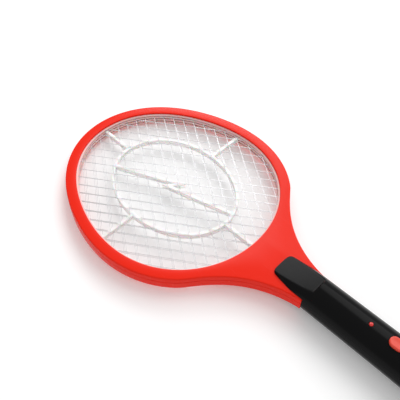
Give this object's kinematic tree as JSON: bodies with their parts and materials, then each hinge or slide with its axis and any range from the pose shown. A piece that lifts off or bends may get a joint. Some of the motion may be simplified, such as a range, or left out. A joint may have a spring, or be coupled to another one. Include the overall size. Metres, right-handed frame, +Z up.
{
  "type": "battery insect racket",
  "caption": "Battery insect racket with an oval red head, layered wire nets on a white spoked wheel, and a round black handle with a push button and a sliding battery cover.",
  "frame": {"origin": "under the middle of the racket's length, on the surface that it lies on, button side up", "axes": "+X along the racket from the head's tip to the handle's butt, +Z up out of the button side, +Y across"},
  "size_m": [0.455, 0.1698, 0.032],
  "materials": {
    "head_red": "moulded red-orange plastic, satin gloss",
    "handle_black": "moulded black plastic, satin gloss",
    "button_red": "moulded red plastic, satin",
    "milky_white": "milky, slightly translucent plastic",
    "net_wire": "thin drawn wire, dull bright",
    "spring_steel": "nickel-plated spring wire",
    "screw_steel": "zinc-plated screw",
    "board_green": "green solder mask",
    "ferrite_grey": "pressed ferrite, dull",
    "winding_tape": "yellow polyester tape",
    "capacitor_brown": "dipped film capacitor",
    "component_black": "moulded epoxy",
    "resistor_tan": "lacquered resistor body",
    "cell_sleeve": "plain shrink sleeve",
    "lead_red": "red insulated lead",
    "lead_black": "black insulated lead",
    "light_red": "clear red lens"
  },
  "bodies": {
    "racket": {"front_shell": "head_red", "rear_shell": "head_red", "handle_front_shell": "handle_black", "handle_rear_shell": "handle_black", "front_ring": "milky_white", "rear_ring": "milky_white", "front_spacer": "milky_white", "rear_spacer": "milky_white", "led_spacer": "milky_white", "front_net": "net_wire", "rear_net": "net_wire", "live_net": "net_wire", "button_spring": "spring_steel", "battery_spring": "spring_steel", "positive_contact": "spring_steel", "handle_screw_1": "screw_steel", "handle_screw_2": "screw_steel", "neck_screw": "screw_steel", "shell_screw_left": "screw_steel", "shell_screw_right": "screw_steel", "circuit_board": "board_green", "transformer_core": "ferrite_grey", "transformer_winding": "winding_tape", "hv_capacitor": "capacitor_brown", "transistor": "component_black", "diode_1": "component_black", "diode_2": "component_black", "diode_3": "component_black", "switch_body": "component_black", "bleed_resistor": "resistor_tan", "limit_resistor": "resistor_tan", "battery_1": "cell_sleeve", "battery_2": "cell_sleeve", "positive_wire": "lead_red", "front_net_lead": "lead_red", "live_net_lead": "lead_red", "rear_net_lead": "lead_red", "negative_wire": "lead_black", "indicator_led": "light_red"},
    "button": {"button_cap": "button_red", "switch_plunger": "component_black"},
    "cover": {"battery_cover": "handle_black"}
  },
  "joints": [
    {"name": "button_press", "type": "slide", "parent": "racket", "child": "button", "axis": [0, 0, -1], "range_m": [0, 0.001], "stiffness_N_per_m": 1000, "springref_m": -0.0012, "deforming": ["button_spring"]},
    {"name": "cover_slide", "type": "slide", "parent": "racket", "child": "cover", "axis": [1, 0, 0], "range_m": [0, 0.115]}
  ]
}
